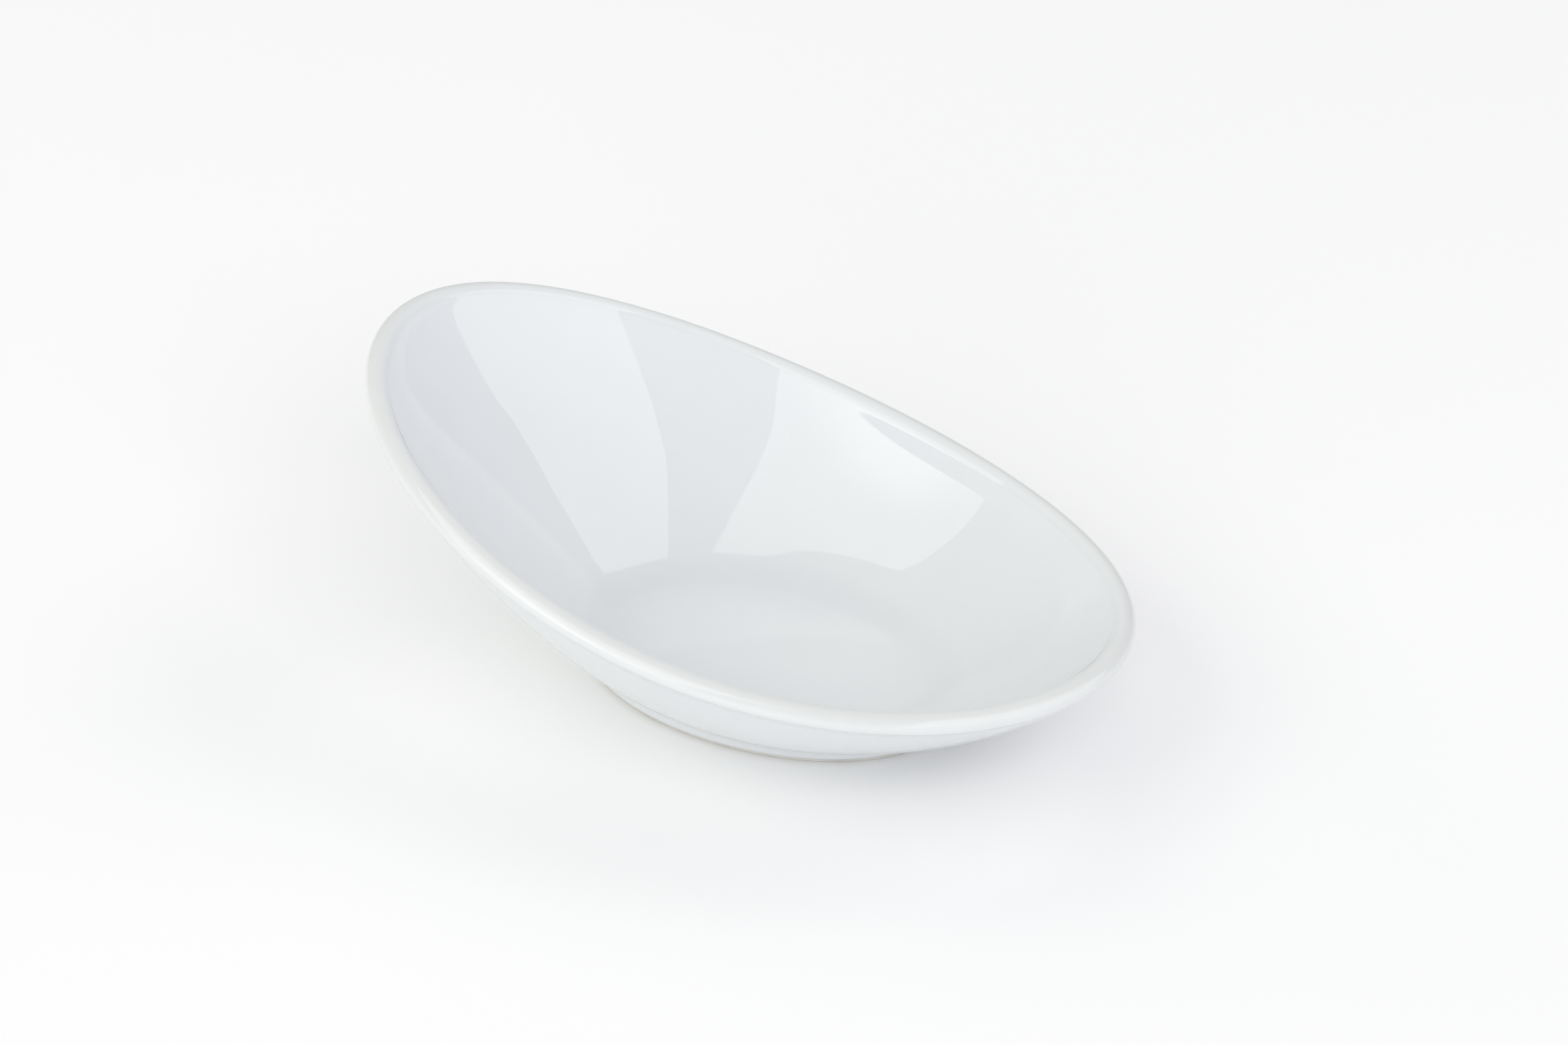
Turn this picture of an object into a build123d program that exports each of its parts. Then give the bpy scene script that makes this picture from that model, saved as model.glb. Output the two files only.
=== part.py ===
from build123d import *

import os
from math import acos, cos, hypot, pi, radians, sin, tan

# Slanted serving bowl in glazed porcelain. Sizes are in mm, over the glaze.
# +Z is up, +X points to the low end, and the origin is under the middle of the lip, on the floor.
LENGTH = 280.0          # along X, over the lip
WIDTH = 180.0           # along Y, over the lip
HIGH_END = 115.5        # top of the lip at the high end
LOW_END = 54.5          # top of the lip at the low end
MIDDLE = 68.5           # top of the lip half way along each side
EGG = -0.04             # how much narrower the low half of the lip is than the high half

LIP_RADIUS = 4.1        # rolled lip
NECK_OUTSIDE = 1.3      # the roll stands out from the outer wall by this much; inside it is flush
LIP_LEAN = 67.8         # slope of the wall at the lip, in degrees from level
LIP_LEAN_CHANGE = 7.8   # how much less that is at the low end, and more at the high end

FOOT_LENGTH = 141.0     # foot ring, along X where it meets the body
FOOT_WIDTH = 89.0       # along Y
FOOT_HEIGHT = 6.7       # from the floor to the underside of the body
FOOT_SHIFT = 7.7        # the foot stands this far towards the low end
FOOT_DRAFT = 1.0        # the foot ring draws in by this much down to the floor
RING_WIDTH = 6.5        # across the foot ring
RING_ROUND = 1.2        # rounded edges of the standing face

WALL_LEAN = 35.9        # slope of the outer wall where it leaves the foot, in degrees from level
WALL_LEAN_CHANGE = 13.5  # how much less that is at the low end, and more at the high end
FLOOR_THICKNESS = 4.6   # body and glaze between the well and the recess
WELL_INSET = 5.4        # the well's corner lies this far inside the foot's outer edge
WELL_BLEND = 9.0        # reach of the soft corner between wall and well, each way

GLAZE = 0.35            # coat thickness
GLAZE_LINE = 1.8        # the glaze stops this far above the floor

# Handles of the wall curves, as shares of the straight distance they span.
FOOT_HANDLE = 0.52
LIP_HANDLE = 0.08

RING_POINTS = 32
WELL_TOP = FOOT_HEIGHT + FLOOR_THICKNESS


def lip_centre(turn):
    """Middle of the rolled lip at an angle round the bowl, 0 at the low end."""
    ends = (LOW_END + HIGH_END) / 2
    level = (ends + MIDDLE) / 2 - LIP_RADIUS
    slant = (LOW_END - HIGH_END) / 2
    saddle = (ends - MIDDLE) / 2
    x = (LENGTH / 2 - LIP_RADIUS) * cos(turn)
    y = (WIDTH / 2 - LIP_RADIUS) * sin(turn) * (1 + EGG * cos(turn))
    return x, y, level + slant * cos(turn) + saddle * cos(2 * turn)


def foot_point(turn):
    """Point on the foot's oval at an angle round the bowl."""
    return FOOT_SHIFT + FOOT_LENGTH / 2 * cos(turn), FOOT_WIDTH / 2 * sin(turn)


def bezier(start, start_way, end, end_way, share):
    """Point on a curve that leaves start along start_way and arrives at end along end_way."""
    span = hypot(end[0] - start[0], end[1] - start[1])
    first = [start[i] + start_way[i] * span * FOOT_HANDLE for i in (0, 1)]
    last = [end[i] - end_way[i] * span * LIP_HANDLE for i in (0, 1)]
    rest = 1 - share
    weights = (rest**3, 3 * rest**2 * share, 3 * rest * share**2, share**3)
    points = (start, first, last, end)
    return tuple(sum(w * p[i] for w, p in zip(weights, points)) for i in (0, 1))


def section(turn, skin):
    """Cut through the wall at one angle, as four runs of (reach outwards from the foot, height) pairs.

    The runs are the outer wall, the rolled lip, the inner wall and the soft corner of the well.
    skin is the coat thickness left off every surface: 0 gives the glazed bowl.
    """
    lip_x, lip_y, lip_z = lip_centre(turn)
    foot_x, foot_y = foot_point(turn)
    reach = hypot(lip_x - foot_x, lip_y - foot_y)
    lip_lean = radians(LIP_LEAN - LIP_LEAN_CHANGE * cos(turn))
    wall_lean = radians(WALL_LEAN - WALL_LEAN_CHANGE * cos(turn))
    lip_way = (cos(lip_lean), sin(lip_lean))
    wall_way = (cos(wall_lean), sin(wall_lean))
    roll = LIP_RADIUS - skin
    roll_start = -acos((roll - NECK_OUTSIDE) / roll)

    def on_roll(angle):
        away = angle + lip_lean - pi / 2
        return reach + roll * cos(away), lip_z + roll * sin(away)

    foot = (-skin / sin(wall_lean), FOOT_HEIGHT)
    outside = [bezier(foot, wall_way, on_roll(roll_start), lip_way, i / 6) for i in range(7)]
    lip = [on_roll(roll_start + (pi - roll_start) * i / 10) for i in range(11)]
    corner_x = skin * (sin(wall_lean) - tan(wall_lean / 2) * cos(wall_lean)) - WELL_INSET
    corner_z = WELL_TOP - skin
    on_wall = (corner_x + WELL_BLEND * wall_way[0], corner_z + WELL_BLEND * wall_way[1])
    inside = [bezier(on_wall, wall_way, on_roll(pi), lip_way, 1 - i / 6) for i in range(7)]
    well = []
    for share in (0, 0.25, 0.5, 0.75, 1):
        up_wall = WELL_BLEND * (1 - share) ** 2
        well_x = corner_x + up_wall * wall_way[0] - WELL_BLEND * share**2
        well.append((well_x, corner_z + up_wall * wall_way[1]))
    return outside, lip, inside, well


def closed_curve(points):
    """Smooth closed outline through points."""
    return Wire([Edge.make_spline([Vector(*p) for p in points], periodic=True)])


def foot_outline(inset, z):
    """The foot's oval at one height, drawn in by inset."""
    at = Plane((FOOT_SHIFT, 0, z))
    return Wire([Edge.make_ellipse(FOOT_LENGTH / 2 - inset, FOOT_WIDTH / 2 - inset, at)])


def bowl_shape(skin):
    """Wall, lip and floor as one solid, with a coat of thickness skin left off."""
    columns = []
    for i in range(RING_POINTS):
        turn = 2 * pi * i / RING_POINTS
        foot_x, foot_y = foot_point(turn)
        lip_x, lip_y, _ = lip_centre(turn)
        reach = hypot(lip_x - foot_x, lip_y - foot_y)
        way_x, way_y = (lip_x - foot_x) / reach, (lip_y - foot_y) / reach
        runs = section(turn, skin)
        columns.append([[(foot_x + r * way_x, foot_y + r * way_y, z) for r, z in run] for run in runs])
    faces = []
    for run in range(4):
        outlines = [closed_curve(ring) for ring in zip(*(column[run] for column in columns))]
        if run == 0 and skin == 0:
            # The glazed bowl starts on the foot's own oval, so the coat runs on down the foot edge to edge.
            outlines[0] = foot_outline(0, FOOT_HEIGHT)
        faces += Shell.make_loft(outlines).faces()
        if run == 0:
            faces.append(Face(outlines[0]))
    faces.append(Face(outlines[-1]))
    return Solid(Shell(faces))


def foot_block(inset, draft):
    """Solid oval block as high as the foot, its side drawn in by draft from top to floor."""
    return Solid.make_loft([foot_outline(inset + draft, 0), foot_outline(inset, FOOT_HEIGHT)], ruled=True)


def above_glaze_line(shape):
    """What is left of a shape above the height where the glaze stops."""
    return split(shape, Plane((0, 0, GLAZE_LINE)), keep=Keep.TOP)


def make_porcelain_body():
    return bowl_shape(GLAZE)


def make_foot_ring():
    ring = foot_block(GLAZE, FOOT_DRAFT) - foot_block(RING_WIDTH, -FOOT_DRAFT)
    standing = ring.faces().sort_by(Axis.Z)[0]
    return fillet(standing.edges(), RING_ROUND)


def make_glaze_coat(body):
    shell = bowl_shape(0) - body
    sleeve = above_glaze_line(foot_block(0, FOOT_DRAFT)) - foot_block(GLAZE, FOOT_DRAFT)
    return shell + sleeve


def make_recess_glaze():
    recess = above_glaze_line(foot_block(RING_WIDTH, -FOOT_DRAFT))
    bare = Pos(0, 0, -GLAZE) * foot_block(RING_WIDTH + GLAZE, -FOOT_DRAFT)
    return recess - bare


def main():
    body = make_porcelain_body()
    nodes = {
        "porcelain_body": body,
        "foot_ring": make_foot_ring(),
        "glaze_coat": make_glaze_coat(body),
        "recess_glaze": make_recess_glaze(),
    }
    os.makedirs("parts", exist_ok=True)
    for name, shape in nodes.items():
        export_step(shape, f"parts/{name}.step")


main()
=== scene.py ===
"""Slanted serving bowl in white glazed porcelain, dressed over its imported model."""
import logging
from dataclasses import dataclass
from enum import Enum
from math import acos, cos, hypot, pi, radians, sin
from typing import Sequence

import bmesh
import bpy
from mathutils import Matrix, Vector, noise


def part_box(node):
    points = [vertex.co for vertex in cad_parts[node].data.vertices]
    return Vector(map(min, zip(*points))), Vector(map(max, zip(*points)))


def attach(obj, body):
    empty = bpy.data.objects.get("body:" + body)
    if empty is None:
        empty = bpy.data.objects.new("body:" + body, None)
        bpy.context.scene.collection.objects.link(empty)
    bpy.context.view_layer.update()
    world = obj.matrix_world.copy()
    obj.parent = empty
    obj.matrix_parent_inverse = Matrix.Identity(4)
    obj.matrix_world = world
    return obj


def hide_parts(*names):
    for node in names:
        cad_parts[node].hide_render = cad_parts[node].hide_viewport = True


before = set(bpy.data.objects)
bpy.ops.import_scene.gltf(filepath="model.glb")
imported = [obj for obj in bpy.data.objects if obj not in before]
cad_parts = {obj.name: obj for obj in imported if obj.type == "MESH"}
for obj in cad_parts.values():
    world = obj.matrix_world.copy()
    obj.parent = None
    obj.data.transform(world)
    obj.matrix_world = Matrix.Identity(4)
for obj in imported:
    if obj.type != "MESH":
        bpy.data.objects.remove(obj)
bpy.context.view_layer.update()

BODY = "root"
MM = 0.001

logging.basicConfig(level=logging.INFO, format="%(message)s")
log = logging.getLogger("bowl")


# ---------------------------------------------------------------- colours and nodes


def linear(hex_colour: str) -> tuple[float, float, float, float]:
    """Turns an sRGB hex colour into the linear values that shaders take.

    Args:
        hex_colour: Six hex digits, such as "F4F5F3".

    Returns:
        Linear red, green, blue and an alpha of 1.
    """
    parts = [int(hex_colour[i : i + 2], 16) / 255 for i in (0, 2, 4)]
    return tuple(c / 12.92 if c <= 0.04045 else ((c + 0.055) / 1.055) ** 2.4 for c in parts) + (1.0,)


def add_node(
    tree: bpy.types.NodeTree, kind: str, settings: dict[str, object] | None = None, **links: object
) -> bpy.types.Node:
    """Adds a node, with its settings, its socket values and its incoming links.

    Args:
        tree: The node tree that gets the node.
        kind: The node's type, such as "ShaderNodeBump".
        settings: Properties of the node itself, such as {"operation": "MULTIPLY"}.
        **links: Socket names, with _ for a space, or in3 for the input numbered 3. Each is given
            another node's output socket, which is linked, or a value, which is set.

    Returns:
        The new node.
    """
    node = tree.nodes.new(kind)
    for name, value in (settings or {}).items():
        setattr(node, name, value)
    for name, value in links.items():
        numbered = name[:2] == "in" and name[2:].isdigit()
        socket = node.inputs[int(name[2:]) if numbered else name.replace("_", " ")]
        if isinstance(value, bpy.types.NodeSocket):
            tree.links.new(value, socket)
        else:
            socket.default_value = value
    return node


def new_material(name: str) -> tuple[bpy.types.Material, bpy.types.NodeTree]:
    """Starts an empty node material.

    Args:
        name: The material's name.

    Returns:
        The material and its node tree.
    """
    material = bpy.data.materials.new(name)
    material.use_nodes = True
    material.node_tree.nodes.clear()
    return material, material.node_tree


# ---------------------------------------------------------------- finishes


class Coat(Enum):
    """Where a coat of glaze lies, with the name of its material."""

    BOWL = "white_porcelain_clear_glazed"
    RECESS = "white_porcelain_clear_glazed_recess"


@dataclass(frozen=True)
class ClearGlaze:
    """Clear lead-free glaze, sprayed and fired to gloss over white hard porcelain.

    It gives the eye a cool white with mirror-sharp but faintly rippled reflections. Where the glaze pools,
    in the crease over the foot and under the roll, the white turns a little deeper and cooler, and the same
    darker white is painted as shade there, over the whole outer wall and in the well's corner; over the lip
    it runs thin, and the lip is painted a little duller and more neutral, darkest at its top, as painted
    shade.

    Attributes:
        coat: Which coat this is.
        white: Body colour seen through a coat of usual depth.
        pooled_and_shaded: The same under a deep coat; this darker white is also painted as shade on the
            outer wall, in the creases and in the recess.
        thin_and_shaded: The same under a thin coat; this darker white is painted as shade on the lip, most
            at its top.
        usual_depth: Place on the colour ramp at which the white is seen, from 0, thin glaze and painted
            shade, to 1, pooled glaze and painted shade.
        cloud: Width of the spray's thick and thin patches, in mm.
        cloud_depth: How much deeper or thinner the glaze is there.
        smooth: Roughness where the spray lay best.
        dull: Roughness where it lay worst.
        ior: How strongly the glaze bends light.
        ripple: Width of the glaze's ripples, in mm.
        ripple_depth: Height of the ripples, in mm.
        peel: Width of the fine orange peel, in mm.
        peel_depth: Height of the orange peel, in mm.
        speck_spacing: Usual distance between iron specks, in mm through the volume.
        speck_radius: Radius of a speck, in mm.
        speck: Colour of a speck.
        speck_strength: How much of that colour shows through the coat.
        pit_depth: Depth of the pit over a speck, in mm.
    """

    coat: Coat = Coat.BOWL
    white: str = "E4E6E8"
    # A darker white for pooled glaze, also painted as shade on the outer wall, in the creases and in the
    # recess.
    pooled_and_shaded: str = "D6DADC"
    # A darker white for thin glaze, painted as shade on the lip.
    thin_and_shaded: str = "D9DBDA"
    usual_depth: float = 0.45
    cloud: float = 34.0
    cloud_depth: float = 0.04
    smooth: float = 0.012
    dull: float = 0.03
    ior: float = 1.52
    ripple: float = 13.0
    ripple_depth: float = 0.03
    peel: float = 2.6
    peel_depth: float = 0.0012
    speck_spacing: float = 19.0
    speck_radius: float = 0.28
    speck: str = "8F8A84"
    speck_strength: float = 0.55
    pit_depth: float = 0.04

    def build(self) -> bpy.types.Material:
        """Makes the material.

        Returns:
            A glossy white material that reads Object coordinates and the mesh's own attribute of pooled
            glaze and painted shade.
        """
        material, tree = new_material(self.coat.value)
        place = add_node(tree, "ShaderNodeTexCoord").outputs["Object"]
        depth = add_node(tree, "ShaderNodeAttribute", {"attribute_name": "glaze_pool_and_shade"}).outputs["Fac"]

        # Sprayed glaze varies in depth over a few centimetres as well as by where it ran; the mesh's
        # attribute also carries painted shade.
        cloud = add_node(tree, "ShaderNodeTexNoise", Vector=place, Scale=1 / (self.cloud * MM), Detail=2.0)
        cloudy = add_node(
            tree,
            "ShaderNodeMapRange",
            Value=cloud.outputs["Fac"],
            From_Min=0.3,
            From_Max=0.7,
            To_Min=-self.cloud_depth,
            To_Max=self.cloud_depth,
        )
        adding = {"operation": "ADD", "use_clamp": True}
        laid = add_node(tree, "ShaderNodeMath", adding, in0=depth, in1=cloudy.outputs[0])
        # Both ends of the ramp are darker than the white: the thin end paints shade on the lip, the pooled
        # end paints shade on the outer wall, in the creases and in the corners.
        ramp = add_node(tree, "ShaderNodeValToRGB", Fac=laid.outputs[0])
        ramp.color_ramp.elements[0].color = linear(self.thin_and_shaded)
        ramp.color_ramp.elements[1].color = linear(self.pooled_and_shaded)
        ramp.color_ramp.elements.new(self.usual_depth).color = linear(self.white)

        # Iron specks: a few points of the volume happen to lie in the coat.
        cells = add_node(tree, "ShaderNodeTexVoronoi", Vector=place, Scale=1 / (self.speck_spacing * MM))
        reach = self.speck_radius / self.speck_spacing
        speck = add_node(
            tree,
            "ShaderNodeMapRange",
            Value=cells.outputs["Distance"],
            From_Min=reach * 0.4,
            From_Max=reach,
            To_Min=self.speck_strength,
            To_Max=0.0,
        )
        colour = add_node(
            tree,
            "ShaderNodeMix",
            {"data_type": "RGBA"},
            in0=speck.outputs[0],
            in6=ramp.outputs["Color"],
            in7=linear(self.speck),
        )

        # Ripples bend the edges of reflections; the finer peel only softens them.
        ripple = add_node(tree, "ShaderNodeTexNoise", Vector=place, Scale=1 / (self.ripple * MM), Detail=0.0)
        peel = add_node(tree, "ShaderNodeTexNoise", Vector=place, Scale=1 / (self.peel * MM), Detail=1.0)
        rippled = add_node(
            tree,
            "ShaderNodeBump",
            Strength=1.0,
            Distance=self.ripple_depth * MM,
            Height=ripple.outputs["Fac"],
        )
        peeled = add_node(
            tree,
            "ShaderNodeBump",
            Strength=1.0,
            Distance=self.peel_depth * MM,
            Height=peel.outputs["Fac"],
            Normal=rippled.outputs[0],
        )
        pit = add_node(
            tree,
            "ShaderNodeBump",
            {"invert": True},
            Strength=1.0,
            Distance=self.pit_depth * MM,
            Height=speck.outputs[0],
            Normal=peeled.outputs[0],
        )

        gloss = add_node(
            tree,
            "ShaderNodeMapRange",
            Value=cloud.outputs["Fac"],
            From_Min=0.3,
            From_Max=0.7,
            To_Min=self.smooth,
            To_Max=self.dull,
        )
        skin = add_node(
            tree,
            "ShaderNodeBsdfPrincipled",
            Base_Color=colour.outputs[2],
            Roughness=gloss.outputs[0],
            Normal=pit.outputs[0],
            IOR=self.ior,
        )
        add_node(tree, "ShaderNodeOutputMaterial", Surface=skin.outputs[0])
        return material


@dataclass(frozen=True)
class BarePorcelain:
    """Hard white porcelain, fired without glaze and ground flat where the bowl stands.

    It gives the eye a dry, warmer white, with fine grinding marks and a little table dirt in its pores.

    Attributes:
        name: The material's name.
        clay: Colour of the fired clay.
        rubbed: Colour where the ground face has picked up grey from use.
        grain: Width of the fired grain, in mm, drawn coarser than real porcelain so that it shows.
        grain_depth: Height of the grain, in mm.
        wear: Width of the rubbed patches, in mm.
        wear_strength: How much of the rubbed colour shows at most.
        ior: How strongly the clay's surface bends light.
    """

    name: str = "white_porcelain_bare_ground"
    clay: str = "D9D6CF"
    rubbed: str = "C2BDB4"
    grain: float = 0.5
    grain_depth: float = 0.02
    wear: float = 9.0
    wear_strength: float = 0.7
    ior: float = 1.5

    def build(self) -> bpy.types.Material:
        """Makes the material.

        Returns:
            A matt white material that reads Object coordinates.
        """
        material, tree = new_material(self.name)
        place = add_node(tree, "ShaderNodeTexCoord").outputs["Object"]
        grain = add_node(tree, "ShaderNodeTexNoise", Vector=place, Scale=1 / (self.grain * MM), Detail=3.0)
        wear = add_node(tree, "ShaderNodeTexNoise", Vector=place, Scale=1 / (self.wear * MM), Detail=4.0)
        worn = add_node(
            tree,
            "ShaderNodeMapRange",
            Value=wear.outputs["Fac"],
            From_Min=0.45,
            From_Max=0.75,
            To_Min=0.0,
            To_Max=self.wear_strength,
        )
        colour = add_node(
            tree,
            "ShaderNodeMix",
            {"data_type": "RGBA"},
            in0=worn.outputs[0],
            in6=linear(self.clay),
            in7=linear(self.rubbed),
        )
        rough = add_node(tree, "ShaderNodeMapRange", Value=grain.outputs["Fac"], To_Min=0.55, To_Max=0.75)
        bump = add_node(
            tree, "ShaderNodeBump", Strength=1.0, Distance=self.grain_depth * MM, Height=grain.outputs["Fac"]
        )
        skin = add_node(
            tree,
            "ShaderNodeBsdfPrincipled",
            Base_Color=colour.outputs[2],
            Roughness=rough.outputs[0],
            Normal=bump.outputs[0],
            IOR=self.ior,
        )
        add_node(tree, "ShaderNodeOutputMaterial", Surface=skin.outputs[0])
        return material


@dataclass(frozen=True)
class StudioPaper:
    """Seamless white background paper, matt and smooth, which gives the eye a clean, almost bright white.

    Attributes:
        name: The material's name.
        sheet: Colour of the paper.
        fibre: Width of the paper's fibre, in mm.
        fibre_depth: Height of the fibre, in mm.
    """

    name: str = "studio_paper_white"
    sheet: str = "F6F6F7"
    fibre: float = 1.2
    fibre_depth: float = 0.02

    def build(self) -> bpy.types.Material:
        """Makes the material.

        Returns:
            A matt white material with a faint fibre.
        """
        material, tree = new_material(self.name)
        place = add_node(tree, "ShaderNodeTexCoord").outputs["Object"]
        fibre = add_node(tree, "ShaderNodeTexNoise", Vector=place, Scale=1 / (self.fibre * MM), Detail=2.0)
        bump = add_node(
            tree, "ShaderNodeBump", Strength=0.2, Distance=self.fibre_depth * MM, Height=fibre.outputs["Fac"]
        )
        skin = add_node(
            tree,
            "ShaderNodeBsdfPrincipled",
            Base_Color=linear(self.sheet),
            Roughness=0.9,
            Normal=bump.outputs[0],
        )
        skin.inputs["Specular IOR Level"].default_value = 0.15
        add_node(tree, "ShaderNodeOutputMaterial", Surface=skin.outputs[0])
        return material


# ---------------------------------------------------------------- shape


Point = tuple[float, float]

# Tone of the glaze, from 0, thin, to 1, pooled, at each outline from the glaze line to the edge of the well.
# Besides pooled glaze, these paint shade: the whole outer wall, the crease over the foot, the hollow under
# the roll and the well's corner are painted darker, and so is the roll, most at its top.
SIDE_DEPTHS = (0.45, 0.45, 0.45, 0.48, 0.5)
# Crease over the foot: pooled glaze and painted shade.
CREASE_POOL_AND_SHADE = (0.55, 0.62, 0.7, 0.72, 0.72, 0.72)
# The whole outer wall: painted shade.
WALL_SHADE = 0.72
# Hollow under the roll: pooled glaze and painted shade.
NECK_POOL_AND_SHADE = (0.74, 0.78, 0.82, 0.85, 0.78, 0.65, 0.5, 0.36)
# The roll, darkest at its top: painted shade over thin glaze.
ROLL_SHADE = 0.32
ROLL_TOP_SHADE = 0.3
INSIDE_DEPTH = 0.45
# Well's corner: pooled glaze and painted shade.
WELL_POOL_AND_SHADE = 0.12

# Numbers of outlines along the stretches whose depths are worked out.
WALL_OUTLINES = 30
ROLL_OUTLINES = 26
INSIDE_OUTLINES = 35
WELL_OUTLINES = 13

# Sizes of the outlines that close a skin's middle, as shares of its open edge.
WELL_CLOSING = (0.93, 0.85, 0.75, 0.64, 0.52, 0.4, 0.28, 0.17, 0.08)
UNDERSIDE_CLOSING = (0.9, 0.75, 0.58, 0.4, 0.22, 0.1)
RECESS_CLOSING = (0.96, 0.88, 0.76, 0.62, 0.48, 0.34, 0.2, 0.09)


@dataclass
class Station:
    """One outline round the bowl, as a point for each angle.

    Attributes:
        ring: Places in the row frame, in metres.
        tone: Place on the glaze's colour ramp, from 0, thin, to 1, pooled, which also carries painted shade.
    """

    ring: list[Vector]
    depth: float


@dataclass
class BowlForm:
    """The bowl's shape over its glaze, in mm, from which every piece takes its sizes.

    Attributes:
        length: Over the lip, along X.
        width: Over the lip, along Y.
        high_end: Top of the lip at the high end.
        low_end: Top of the lip at the low end.
        middle: Top of the lip half way along each side.
        egg: How much narrower the low half of the lip is.
        lip_radius: Radius of the rolled lip.
        neck_outside: How far the roll stands out from the wall, outside.
        lip_lean: Slope of the wall at the lip, in degrees from level.
        lip_lean_change: How much less that is at the low end.
        foot_length: Foot, along X, where it meets the body.
        foot_width: Foot, along Y.
        foot_height: From the floor to the underside of the body.
        foot_shift: How far the foot stands towards the low end.
        foot_draft: How much the foot draws in down to the floor.
        ring_width: Across the foot ring.
        ring_round: Rounded edges of the standing face.
        wall_lean: Slope of the wall at the foot, in degrees from level.
        wall_lean_change: How much less that is at the low end.
        floor_thickness: Between the well and the recess.
        well_inset: From the foot's edge to the well's corner.
        well_blend: Reach of the well's soft corner.
        glaze: Thickness of the coat.
        glaze_line: Where the glaze stops above the floor.
        foot_handle: Pull of the wall's curve at the foot, as a share of its span.
        lip_handle: Pull of the wall's curve at the lip.
        crease_fill: How far the glaze fills the crease over the foot at the low end.
        crease_rise: How much more it fills half way round, as a share; at the high end, twice that.
        neck_fill: How far the glaze fills the hollow under the roll, on the roll's side.
        neck_reach: The same on the wall's side, as a share of the wall's curve.
        wobble: How far firing pulled the wall out of true.
        wobble_width: From one of its swells to the next.
        turns: Points round every outline.
    """

    length: float
    width: float
    high_end: float
    low_end: float = 54.5
    middle: float = 68.5
    egg: float = -0.04
    lip_radius: float = 4.1
    neck_outside: float = 1.3
    lip_lean: float = 67.8
    lip_lean_change: float = 7.8
    foot_length: float = 141.0
    foot_width: float = 89.0
    foot_height: float = 6.7
    foot_shift: float = 7.7
    foot_draft: float = 1.0
    ring_width: float = 6.5
    ring_round: float = 1.2
    wall_lean: float = 35.9
    wall_lean_change: float = 13.5
    floor_thickness: float = 4.6
    well_inset: float = 5.4
    well_blend: float = 9.0
    glaze: float = 0.35
    glaze_line: float = 1.8
    foot_handle: float = 0.52
    lip_handle: float = 0.08
    crease_fill: float = 1.1
    crease_rise: float = 0.6
    neck_fill: float = 3.2
    neck_reach: float = 0.12
    wobble: float = 0.09
    wobble_width: float = 38.0
    turns: int = 288

    @classmethod
    def from_frame(cls) -> "BowlForm":
        """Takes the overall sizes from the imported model, so that the two can't drift apart.

        Returns:
            The form.
        """
        low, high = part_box("glaze_coat")
        ring_low, ring_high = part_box("foot_ring")
        form = cls(
            length=(high.x - low.x) / MM,
            width=(high.y - low.y) / MM,
            high_end=high.z / MM,
        )
        form.foot_length = (ring_high.x - ring_low.x) / MM + 2 * form.glaze
        form.foot_width = (ring_high.y - ring_low.y) / MM + 2 * form.glaze
        form.foot_shift = (ring_high.x + ring_low.x) / 2 / MM
        form.foot_height = ring_high.z / MM
        return form

    def lip_centre(self, turn: float) -> tuple[float, float, float]:
        """Middle of the rolled lip.

        Args:
            turn: Angle round the bowl, 0 at the low end.

        Returns:
            X, Y and Z, in mm.
        """
        ends = (self.low_end + self.high_end) / 2
        level = (ends + self.middle) / 2 - self.lip_radius
        slant = (self.low_end - self.high_end) / 2
        saddle = (ends - self.middle) / 2
        x = (self.length / 2 - self.lip_radius) * cos(turn)
        y = (self.width / 2 - self.lip_radius) * sin(turn) * (1 + self.egg * cos(turn))
        return x, y, level + slant * cos(turn) + saddle * cos(2 * turn)

    def foot_point(self, turn: float, inset: float = 0.0) -> Point:
        """Point on the foot's oval.

        Args:
            turn: Angle round the bowl.
            inset: How far in from the oval, in mm.

        Returns:
            X and Y, in mm.
        """
        x = self.foot_shift + (self.foot_length / 2 - inset) * cos(turn)
        return x, (self.foot_width / 2 - inset) * sin(turn)

    def wall_curve(self, start: Point, start_way: Point, end: Point, end_way: Point, share: float) -> Point:
        """Point on the wall's curve between foot and lip.

        Args:
            start: Lower end.
            start_way: Direction there.
            end: Upper end.
            end_way: Direction there.
            share: How far along, from 0 to 1.

        Returns:
            Reach and height, in mm.
        """
        span = hypot(end[0] - start[0], end[1] - start[1])
        rest = 1 - share
        weights = (rest**3, 3 * rest**2 * share, 3 * rest * share**2, share**3)
        spot = []
        for i in (0, 1):
            first = start[i] + start_way[i] * span * self.foot_handle
            last = end[i] - end_way[i] * span * self.lip_handle
            spot.append(sum(w * p for w, p in zip(weights, (start[i], first, last, end[i]))))
        return spot[0], spot[1]

    @staticmethod
    def rounded(start: Point, corner: Point, end: Point, count: int) -> list[Point]:
        """Rounds a corner off.

        Args:
            start: Where the rounding starts.
            corner: The sharp corner.
            end: Where it ends.
            count: Points, both ends included.

        Returns:
            Points along the rounding.
        """
        shares = [i / (count - 1) for i in range(count)]
        return [
            tuple((1 - s) ** 2 * start[i] + 2 * s * (1 - s) * corner[i] + s**2 * end[i] for i in (0, 1))
            for s in shares
        ]

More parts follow.
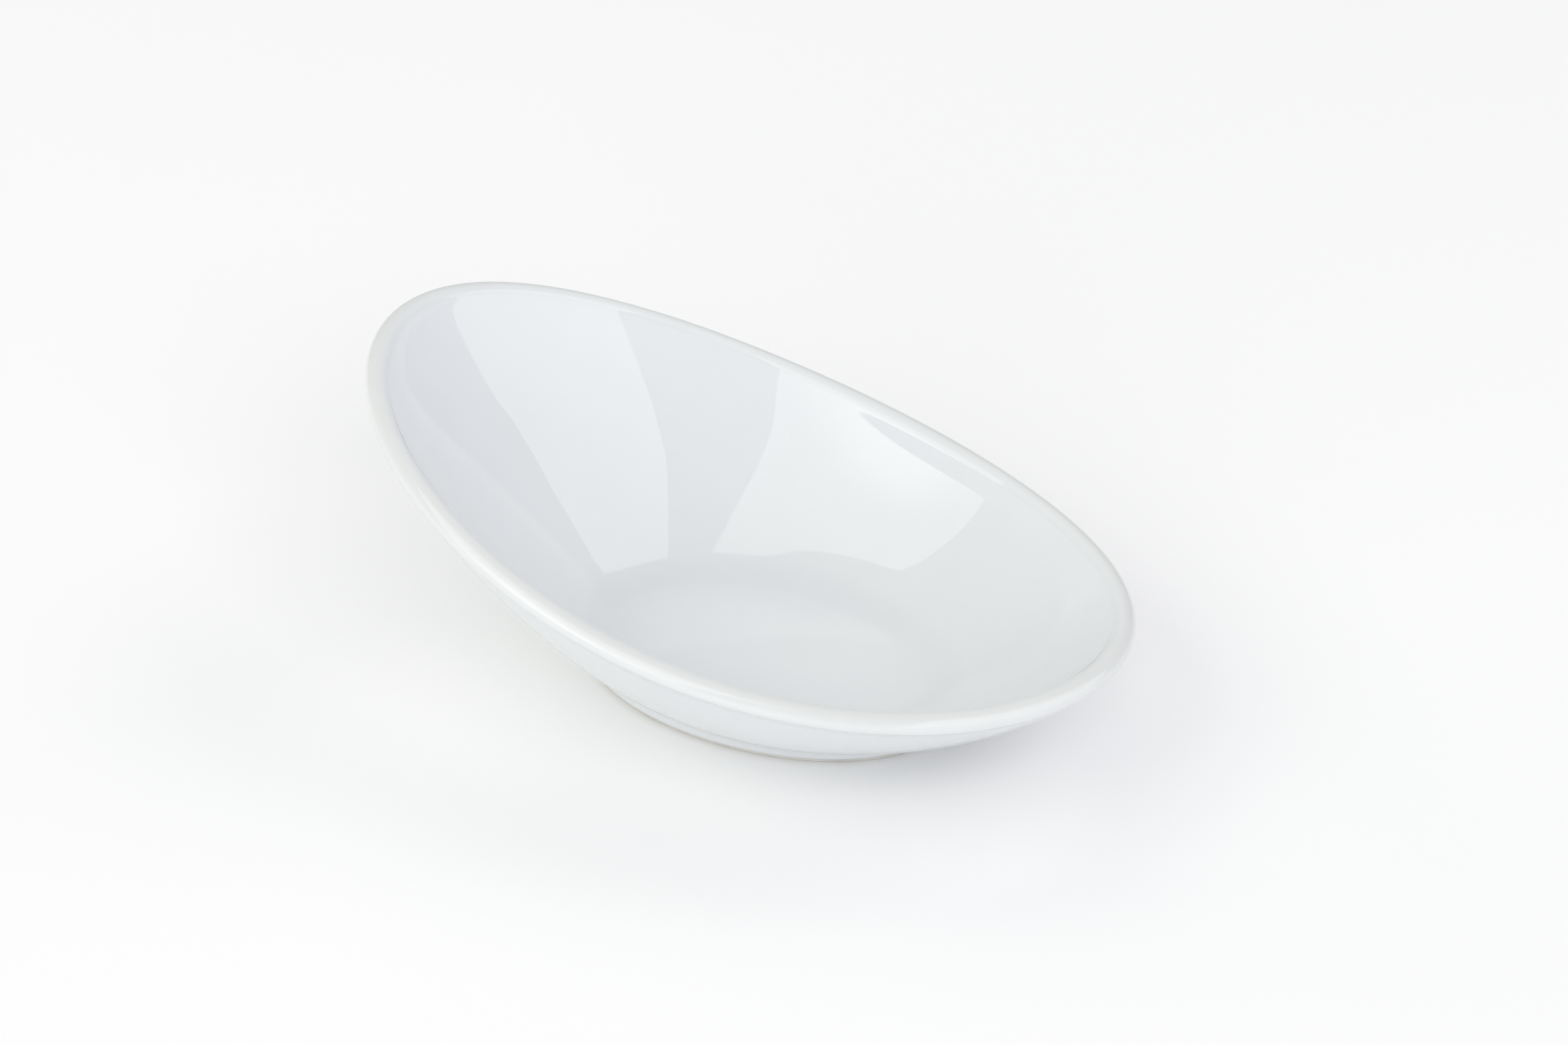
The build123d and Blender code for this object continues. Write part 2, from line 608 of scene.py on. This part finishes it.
    def section(self, turn: float) -> list[tuple[float, float, float]]:
        """Cut through the coat's outer face at one angle, from the glaze line to the edge of the well.

        Args:
            turn: Angle round the bowl.

        Returns:
            Reach outwards from the foot, height, and tone of the glaze, which carries painted shade too.
        """
        lip_x, lip_y, lip_z = self.lip_centre(turn)
        foot_x, foot_y = self.foot_point(turn)
        reach = hypot(lip_x - foot_x, lip_y - foot_y)
        lip_lean = radians(self.lip_lean - self.lip_lean_change * cos(turn))
        wall_lean = radians(self.wall_lean - self.wall_lean_change * cos(turn))
        lip_way = (cos(lip_lean), sin(lip_lean))
        wall_way = (cos(wall_lean), sin(wall_lean))
        roll = self.lip_radius
        roll_start = -acos((roll - self.neck_outside) / roll)
        fill = self.neck_fill / roll

        def on_roll(angle: float) -> Point:
            """Point on the rolled lip."""
            away = angle + lip_lean - pi / 2
            return reach + roll * cos(away), lip_z + roll * sin(away)

        # The steep wall at the high end holds more glaze in its crease than the low end's.
        crease = self.crease_fill * (1 + self.crease_rise * (1 - cos(turn)))
        foot = (0.0, self.foot_height)
        out_end, in_end = on_roll(roll_start), on_roll(pi)
        span = hypot(out_end[0], out_end[1] - self.foot_height)
        leave = crease / (3 * self.foot_handle * span)

        def outer(share: float) -> Point:
            """Point on the outer wall."""
            return self.wall_curve(foot, wall_way, out_end, lip_way, share)

        corner = (-self.well_inset, self.foot_height + self.floor_thickness)
        on_wall = (corner[0] + self.well_blend * wall_way[0], corner[1] + self.well_blend * wall_way[1])

        def inner(share: float) -> Point:
            """Point on the inner wall."""
            return self.wall_curve(on_wall, wall_way, in_end, lip_way, share)

        path: list[tuple[float, float, float]] = []

        def run(points: list[Point], tones: Sequence[float]) -> None:
            """Adds points with their tones of glaze and painted shade."""
            path.extend((p[0], p[1], d) for p, d in zip(points, tones))

        side_top = self.foot_height - crease
        steps = len(SIDE_DEPTHS)
        heights = [self.glaze_line + (side_top - self.glaze_line) * i / steps for i in range(steps)]
        run([(-self.foot_draft * (1 - z / self.foot_height), z) for z in heights], SIDE_DEPTHS)
        side = (-self.foot_draft * (1 - side_top / self.foot_height), side_top)
        # The crease over the foot is painted darker: pooled glaze and painted shade.
        run(self.rounded(side, foot, outer(leave), len(CREASE_POOL_AND_SHADE)), CREASE_POOL_AND_SHADE)
        neck = 1 - self.neck_reach
        shares = [leave + (neck - leave) * (i + 1) / (WALL_OUTLINES + 1) for i in range(WALL_OUTLINES)]
        # The whole outer wall is painted in the darker pooled white, as painted shade.
        run([outer(s) for s in shares], [WALL_SHADE] * len(shares))
        start, end = roll_start + fill, pi
        # The hollow under the roll is painted darker: pooled glaze and painted shade.
        run(self.rounded(outer(neck), out_end, on_roll(start), len(NECK_POOL_AND_SHADE)), NECK_POOL_AND_SHADE)
        angles = [start + (end - start) * (i + 1) / ROLL_OUTLINES for i in range(ROLL_OUTLINES)]
        # The roll is painted darker than the inside, most at its top, as painted shade over its thin glaze.
        top_shade = [ROLL_TOP_SHADE * max(0.0, cos(a - pi / 2)) ** 3 for a in angles]
        run([on_roll(a) for a in angles], [ROLL_SHADE - thin_and_shaded for thin_and_shaded in top_shade])
        shares = [1 - (i + 1) / (INSIDE_OUTLINES + 1) for i in range(INSIDE_OUTLINES)]
        run([inner(s) for s in shares], [INSIDE_DEPTH] * len(shares))
        well = (corner[0] - self.well_blend, corner[1])
        swings = [pi * i / (WELL_OUTLINES - 1) for i in range(WELL_OUTLINES)]
        # The well's corner is painted a little darker: pooled glaze and painted shade.
        corner_pool_and_shade = [INSIDE_DEPTH + WELL_POOL_AND_SHADE * sin(swing) for swing in swings]
        run(self.rounded(on_wall, corner, well, len(corner_pool_and_shade)), corner_pool_and_shade)
        return path

    def stations(self) -> list[Station]:
        """Outlines of the coat's outer face, from the glaze line over the lip to the edge of the well.

        Returns:
            The outlines in order.
        """
        columns: list[list[Vector]] = []
        tones: list[float] = []
        for i in range(self.turns):
            turn = 2 * pi * i / self.turns
            foot_x, foot_y = self.foot_point(turn)
            lip_x, lip_y, _ = self.lip_centre(turn)
            reach = hypot(lip_x - foot_x, lip_y - foot_y)
            way = ((lip_x - foot_x) / reach, (lip_y - foot_y) / reach)
            path = self.section(turn)
            columns.append([Vector((foot_x + r * way[0], foot_y + r * way[1], z)) * MM for r, z, _ in path])
            tones = [d for _, _, d in path]
        return [Station([column[k] for column in columns], depth) for k, depth in enumerate(tones)]

    def oval(self, inset: float, height: float, depth: float = 0.5) -> Station:
        """A level outline that follows the foot.

        Args:
            inset: How far in from the foot's oval, in mm.
            height: Above the floor, in mm.
            tone: Tone of the glaze, which can also carry painted shade.

        Returns:
            The outline.
        """
        ring = []
        for i in range(self.turns):
            x, y = self.foot_point(2 * pi * i / self.turns, inset)
            ring.append(Vector((x, y, height)) * MM)
        return Station(ring, depth)


class Skin:
    """A skin pulled through outlines, one after another, from a single circle."""

    def __init__(self, name: str, turns: int) -> None:
        """Starts an empty skin.

        Args:
            name: Name of the piece.
            turns: Points round every outline.
        """
        self.name = name
        self.turns = turns
        self.mesh = bmesh.new()
        self.depth = self.mesh.verts.layers.float.new("glaze_pool_and_shade")
        self.first: list[bmesh.types.BMVert] = []
        self.edge: list[bmesh.types.BMVert] = []

    def pull(self, station: Station) -> None:
        """Extrudes the open edge and lays it on the next outline.

        Args:
            station: The outline.
        """
        if not self.edge:
            made = bmesh.ops.create_circle(self.mesh, cap_ends=False, segments=self.turns, radius=1.0)
            self.edge = self.first = list(made["verts"])
        else:
            old = set(self.edge)
            edges = [e for v in self.edge for e in v.link_edges if e.verts[0] == v and e.verts[1] in old]
            made = bmesh.ops.extrude_edge_only(self.mesh, edges=edges)
            fresh = [v for v in made["geom"] if isinstance(v, bmesh.types.BMVert)]
            above = {link.other_vert(vert): vert for vert in fresh for link in vert.link_edges}
            self.edge = [above[v] for v in self.edge]
        for vert, place in zip(self.edge, station.ring):
            vert.co = place
            vert[self.depth] = station.depth

    def close_middle(self, shrink: tuple[float, ...]) -> None:
        """Closes the open edge with smaller and smaller outlines and a point in the middle.

        Args:
            shrink: Size of each outline as a share of the open edge, falling.
        """
        ring = [v.co.copy() for v in self.edge]
        middle = sum(ring, Vector()) / len(ring)
        depth = self.edge[0][self.depth]
        for share in shrink:
            self.pull(Station([middle + (p - middle) * share for p in ring], depth))
        bmesh.ops.pointmerge(self.mesh, verts=self.edge, merge_co=middle)

    def join_ends(self) -> None:
        """Bridges the last outline back to the first, so that the skin closes on itself."""
        ends = set(self.edge) | set(self.first)
        edges = [e for e in self.mesh.edges if e.is_boundary and e.verts[0] in ends and e.verts[1] in ends]
        bmesh.ops.bridge_loops(self.mesh, edges=edges)

    def face_outwards(self, flip: bool = False) -> None:
        """Makes the faces agree, and turns them all round where the open skin needs it.

        Args:
            flip: Whether to turn them round.
        """
        bmesh.ops.recalc_face_normals(self.mesh, faces=self.mesh.faces)
        if flip:
            bmesh.ops.reverse_faces(self.mesh, faces=self.mesh.faces)

    def wobble(self, amount: float, width: float) -> None:
        """Moves the skin a little out of true, as firing does.

        Args:
            amount: Most that a point moves, in metres.
            width: Usual distance from one swell to the next, in metres.
        """
        self.mesh.normal_update()
        shift = {v: v.normal * (noise.noise(v.co / width) * amount) for v in self.mesh.verts}
        for vert, move in shift.items():
            vert.co += move

    def sink(self, amount: float) -> None:
        """Moves every point inwards.

        Args:
            amount: How far, in metres.
        """
        self.mesh.normal_update()
        shift = {v: v.normal * -amount for v in self.mesh.verts}
        for vert, move in shift.items():
            vert.co += move

    def thicken(self, thickness: float) -> None:
        """Gives the skin its thickness, inwards from its face.

        Args:
            thickness: In metres.
        """
        bmesh.ops.solidify(self.mesh, geom=self.mesh.faces, thickness=thickness)

    def finish(self, material: bpy.types.Material, slot: str, *nodes: str) -> bpy.types.Object:
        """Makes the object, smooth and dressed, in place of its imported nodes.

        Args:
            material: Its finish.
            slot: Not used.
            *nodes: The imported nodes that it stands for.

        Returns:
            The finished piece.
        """
        data = bpy.data.meshes.new(self.name)
        self.mesh.to_mesh(data)
        self.mesh.free()
        data.polygons.foreach_set("use_smooth", [True] * len(data.polygons))
        data.materials.append(material)
        piece = bpy.data.objects.new(self.name, data)
        bpy.context.scene.collection.objects.link(piece)
        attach(piece, BODY)
        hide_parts(*nodes)
        log.info("%s: %d faces", self.name, len(data.polygons))
        return piece


# ---------------------------------------------------------------- pieces


@dataclass
class GlazeCoat:
    """The coat over the foot's side, the outside, the lip, the inside and the well.

    Attributes:
        form: The bowl's shape.
        finish: Its glaze.
    """

    form: BowlForm
    finish: ClearGlaze

    def build(self) -> bpy.types.Object:
        """Makes the coat as a closed thin skin.

        Returns:
            The piece.
        """
        skin = Skin("glaze_over_bowl", self.form.turns)
        for station in self.form.stations():
            skin.pull(station)
        skin.close_middle(WELL_CLOSING)
        skin.face_outwards()
        skin.wobble(self.form.wobble * MM, self.form.wobble_width * MM)
        skin.thicken(self.form.glaze * MM)
        return skin.finish(self.finish.build(), "glaze", "glaze_coat")


@dataclass
class FootRing:
    """The bare ring that the bowl stands on.

    Attributes:
        form: The bowl's shape.
        finish: Its bare porcelain.
        round_points: Points round each edge of the standing face.
    """

    form: BowlForm
    finish: BarePorcelain
    round_points: int = 7

    def build(self) -> bpy.types.Object:
        """Makes the ring from its top outer edge, round the standing face, to its top inner edge.

        Returns:
            The piece.
        """
        form = self.form
        skin = Skin("bare_foot_ring", form.turns)
        soft = form.ring_round
        bottom_out = form.glaze + form.foot_draft
        bottom_in = form.ring_width - form.foot_draft
        lean = form.foot_draft * soft / form.foot_height
        count = self.round_points
        outer = form.rounded((bottom_out - lean, soft), (bottom_out, 0.0), (bottom_out + soft, 0.0), count)
        inner = form.rounded((bottom_in - soft, 0.0), (bottom_in, 0.0), (bottom_in + lean, soft), count)
        profile = [(form.glaze, form.foot_height), *outer, *inner, (form.ring_width, form.foot_height)]
        for inset, height in profile:
            skin.pull(form.oval(inset, height))
        skin.join_ends()
        skin.face_outwards()
        return skin.finish(self.finish.build(), "porcelain_foot", "foot_ring")


@dataclass
class RecessGlaze:
    """The coat inside the foot ring, under the floor.

    Attributes:
        form: The bowl's shape.
        finish: Its glaze.
        corner_down: Reach of its soft corner down the ring, in mm.
        corner_across: Reach of the corner across the recess, in mm.
        pooled_and_shaded: Tone of the glaze in the corner and across the recess: pooled glaze, and painted
            shade in the recess.
    """

    form: BowlForm
    finish: ClearGlaze
    corner_down: float = 1.6
    corner_across: float = 2.0
    pooled_and_shaded: float = 0.8

    def build(self) -> bpy.types.Object:
        """Makes the coat from the glaze line up the ring's inner side and across the recess.

        Returns:
            The piece.
        """
        form = self.form
        skin = Skin("glaze_in_recess", form.turns)
        ceiling = form.foot_height - form.glaze

        def side(height: float) -> float:
            """Inset of the ring's glazed inner side at a height."""
            return form.ring_width + form.glaze - form.foot_draft * (1 - height / form.foot_height)

        top = ceiling - self.corner_down
        for i in range(5):
            height = form.glaze_line + (top - form.glaze_line) * i / 4
            skin.pull(form.oval(side(height), height))
        inner_end = (side(ceiling) + self.corner_across, ceiling)
        # The corner and the whole recess take the darker pooled white: pooled glaze and painted shade.
        for inset, height in form.rounded((side(top), top), (side(ceiling), ceiling), inner_end, 8)[1:]:
            skin.pull(form.oval(inset, height, self.pooled_and_shaded))
        skin.close_middle(RECESS_CLOSING)
        skin.face_outwards()
        skin.thicken(form.glaze * MM)
        return skin.finish(self.finish.build(), "recess_glaze", "recess_glaze")


@dataclass
class PorcelainBody:
    """The fired body under the coats: wall, roll, well and floor.

    Attributes:
        form: The bowl's shape.
        finish: Its bare porcelain.
        gap: How far it stays under the coat's inner face, in mm.
    """

    form: BowlForm
    finish: BarePorcelain
    gap: float = 0.01

    def build(self) -> bpy.types.Object:
        """Makes the body as the coat's own outlines, sunk under the coat and closed below.

        Returns:
            The piece.
        """
        form = self.form
        skin = Skin("porcelain_body_fired", form.turns)
        crease_end = len(SIDE_DEPTHS) + len(CREASE_POOL_AND_SHADE)
        for station in form.stations()[crease_end:]:
            skin.pull(station)
        skin.close_middle(WELL_CLOSING)
        skin.face_outwards()
        skin.wobble(form.wobble * MM, form.wobble_width * MM)
        skin.sink((form.glaze + self.gap) * MM)
        skin.edge = skin.first
        skin.pull(form.oval(form.glaze + self.gap, form.foot_height))
        skin.close_middle(UNDERSIDE_CLOSING)
        skin.face_outwards()
        return skin.finish(self.finish.build(), "porcelain", "porcelain_body")


# ---------------------------------------------------------------- studio


# Fill lights hang this far from the bowl and reach this far to each side, in metres.
FILL_DISTANCE = 4.0
FILL_ACROSS = (-1.45, 1.45)


@dataclass(frozen=True)
class Softbox:
    """A soft light panel that faces the bowl.

    Attributes:
        name: Its name.
        bearing: Direction from the bowl to it, in degrees from +X towards +Y.
        tilt: How far it leans over the bowl, in degrees.
        distance: From the origin to its plane, in metres.
        across: Its left and right edges, in metres along the plane.
        up: Its lower and upper edges, in metres along the plane.
        power: Watts.
        colour: Its light's colour.
        glow: How much brighter its lamp's middle is than its edge, as a factor.
        glow_at: Where that is, as shares of its width and height.
        glow_reach: How far from there the glow ends, as a share of the panel.
        roll: How far it is turned in its own plane, in degrees.
        flag: How much of its right side a black flag covers, as shares of its width below and above.
        lights: Whether matt surfaces take its light.
        mirrored: Whether glossy surfaces show it.
    """

    name: str
    bearing: float
    tilt: float
    distance: float
    across: tuple[float, float]
    up: tuple[float, float]
    power: float
    colour: str = "FFFFFF"
    glow: float = 0.0
    glow_at: tuple[float, float] = (0.5, 0.5)
    glow_reach: float = 0.42
    roll: float = 0.0
    flag: tuple[float, float] = (0.0, 0.0)
    lights: bool = True
    mirrored: bool = True

    def build(self) -> bpy.types.Object:
        """Makes the light.

        Returns:
            The light's object.
        """
        lamp = bpy.data.lights.new(self.name, "AREA")
        lamp.shape = "RECTANGLE"
        lamp.size = self.across[1] - self.across[0]
        lamp.size_y = self.up[1] - self.up[0]
        lamp.energy = self.power
        lamp.color = linear(self.colour)[:3]
        if self.glow or any(self.flag):
            self.shape_light(lamp)
        bearing, tilt = radians(self.bearing), radians(self.tilt)
        away = Vector((cos(bearing) * cos(tilt), sin(bearing) * cos(tilt), sin(tilt)))
        level = Vector((-sin(bearing), cos(bearing), 0.0))
        side = Matrix.Rotation(radians(self.roll), 3, away) @ level
        rise = away.cross(side)
        place = away * self.distance + side * (sum(self.across) / 2) + rise * (sum(self.up) / 2)
        light = bpy.data.objects.new(self.name, lamp)
        light.matrix_world = Matrix.Translation(place) @ Matrix((side, rise, away)).transposed().to_4x4()
        light.visible_camera = False
        light.visible_diffuse = self.lights
        light.visible_glossy = self.mirrored
        bpy.context.scene.collection.objects.link(light)
        return light

    def shape_light(self, lamp: bpy.types.Light) -> None:
        """Makes the panel brighter near its lamp, and dark behind its flag.

        Args:
            lamp: The light's data.
        """
        lamp.use_nodes = True
        tree = lamp.node_tree
        tree.nodes.clear()
        spot = add_node(tree, "ShaderNodeNewGeometry").outputs["Parametric"]
        middle = (self.glow_at[0], self.glow_at[1], 0.0)
        offset = add_node(tree, "ShaderNodeVectorMath", {"operation": "SUBTRACT"}, in0=spot, in1=middle)
        length = add_node(tree, "ShaderNodeVectorMath", {"operation": "LENGTH"}, in0=offset.outputs[0])
        fall = add_node(
            tree,
            "ShaderNodeMapRange",
            {"interpolation_type": "SMOOTHERSTEP"},
            Value=length.outputs["Value"],
            From_Min=0.0,
            From_Max=self.glow_reach,
            To_Min=1.0 + self.glow,
            To_Max=1.0,
        )
        part = add_node(tree, "ShaderNodeSeparateXYZ", Vector=spot)
        below, above = 1.0 - self.flag[0], 1.0 - self.flag[1]
        edge = add_node(tree, "ShaderNodeMapRange", Value=part.outputs["Y"], To_Min=below, To_Max=above)
        less, times = {"operation": "LESS_THAN"}, {"operation": "MULTIPLY"}
        clear = add_node(tree, "ShaderNodeMath", less, in0=part.outputs["X"], in1=edge.outputs[0])
        seen = add_node(tree, "ShaderNodeMath", times, in0=fall.outputs[0], in1=clear.outputs[0])
        shine = add_node(tree, "ShaderNodeEmission", Strength=seen.outputs[0])
        add_node(tree, "ShaderNodeOutputLight", Surface=shine.outputs[0])


class FillRow(Enum):
    """Row in which a fill light hangs, as its tilt in degrees and half its height in metres."""

    LOW = (12, 0.8)
    HIGH = (42, 1.2)


def fill_light(name: str, bearing: float, row: FillRow, power: float, colour: str) -> Softbox:
    """A large far panel that lights matt surfaces and isn't mirrored in glossy ones.

    Args:
        name: Its name.
        bearing: Direction from the bowl to it, in degrees from +X towards +Y.
        row: The row that it hangs in.
        power: Watts.
        colour: Its light's colour.

    Returns:
        The panel.
    """
    tilt, half_height = row.value
    up = (-half_height, half_height)
    return Softbox(name, bearing, tilt, FILL_DISTANCE, FILL_ACROSS, up, power, colour, mirrored=False)


@dataclass
class Studio:
    """Floor, light and camera.

    Attributes:
        floor_half: Half the floor's side, in metres.
        sky: Colour of the light from all round.
        sky_strength: Its strength.
        boxes: The soft light panels.
        eye: The camera's place, in metres.
        bearing: The side it looks from: 0 looks along +Y, 90 along -X.
        elevation: How far it looks down, in degrees.
        lens: Its focal length, in mm.
    """

    floor_half: float = 6.0
    sky: str = "F1F7FF"
    sky_strength: float = 0.552
    boxes: tuple[Softbox, ...] = (
        Softbox(
            name="softbox_left",
            bearing=-107,
            tilt=20,
            distance=0.9,
            across=(-0.495, 0.511),
            up=(-0.32, 0.82),
            power=4.90,
            colour="FEFFF7",
            glow=1.1,
            glow_at=(0.38, 0.21),
            flag=(0.308, 0.0),
            lights=False,
        ),
        Softbox(
            name="softbox_right",
            bearing=-2.3,
            tilt=10,
            distance=0.7,
            across=(-0.738, 0.185),
            up=(-0.6, 0.46),
            power=4.09,
            colour="FCFFF4",
            roll=-33.8,
            lights=False,
        ),
        fill_light("fill_right_low", 0, FillRow.LOW, 7.8, "EBEBFF"),
        fill_light("fill_left_low", 180, FillRow.LOW, 21.0, "FFF3D9"),
        fill_light("fill_front_low", 270, FillRow.LOW, 23.3, "FFFFFF"),
        fill_light("fill_back_left", 135, FillRow.HIGH, 21.7, "FFF8E8"),
        fill_light("fill_front_left", 225, FillRow.HIGH, 30.2, "FFFBEC"),
        fill_light("fill_front", 270, FillRow.HIGH, 12.6, "F6FFE7"),
        fill_light("fill_front_right", 315, FillRow.HIGH, 44.8, "FFF8F5"),
        fill_light("fill_back_right", 45, FillRow.HIGH, 27.7, "FFF6EE"),
    )
    eye: tuple[float, float, float] = (0.47457, -1.01955, 0.88235)
    bearing: float = 24.347
    elevation: float = 36.0
    lens: float = 91.88

    def build(self) -> None:
        """Makes everything that isn't the bowl."""
        mesh = bmesh.new()
        bmesh.ops.create_grid(mesh, x_segments=8, y_segments=8, size=self.floor_half)
        data = bpy.data.meshes.new("studio_floor")
        mesh.to_mesh(data)
        mesh.free()
        data.materials.append(StudioPaper().build())
        floor = bpy.data.objects.new("studio_floor", data)
        bpy.context.scene.collection.objects.link(floor)

        world = bpy.data.worlds.new("studio_sky")
        bpy.context.scene.world = world
        world.use_nodes = True
        sky = world.node_tree.nodes["Background"]
        sky.inputs["Color"].default_value = linear(self.sky)
        sky.inputs["Strength"].default_value = self.sky_strength
        for box in self.boxes:
            box.build()
        self.place_camera()
        settings = bpy.context.scene.view_settings
        settings.view_transform = "Standard"
        settings.look = "None"
        log.info("studio: floor, %d soft lights, camera", len(self.boxes))

    def place_camera(self) -> None:
        """Makes the camera."""
        bearing, rise = radians(self.bearing), radians(self.elevation)
        back = Vector((sin(bearing) * cos(rise), -cos(bearing) * cos(rise), sin(rise)))
        right = Vector((cos(bearing), sin(bearing), 0.0))
        up = back.cross(right)
        lens = bpy.data.cameras.new("camera")
        lens.lens = self.lens
        lens.sensor_width = 36.0
        lens.clip_start, lens.clip_end = 0.05, 60.0
        camera = bpy.data.objects.new("camera", lens)
        turned = Matrix((right, up, back)).transposed().to_4x4()
        camera.matrix_world = Matrix.Translation(Vector(self.eye)) @ turned
        bpy.context.scene.collection.objects.link(camera)
        bpy.context.scene.camera = camera


def main() -> None:
    """Builds every piece, then the studio."""
    form = BowlForm.from_frame()
    PorcelainBody(form, BarePorcelain(name="white_porcelain_bare_body")).build()
    FootRing(form, BarePorcelain()).build()
    GlazeCoat(form, ClearGlaze()).build()
    RecessGlaze(form, ClearGlaze(coat=Coat.RECESS)).build()
    Studio().build()


if __name__ == "__main__":
    main()
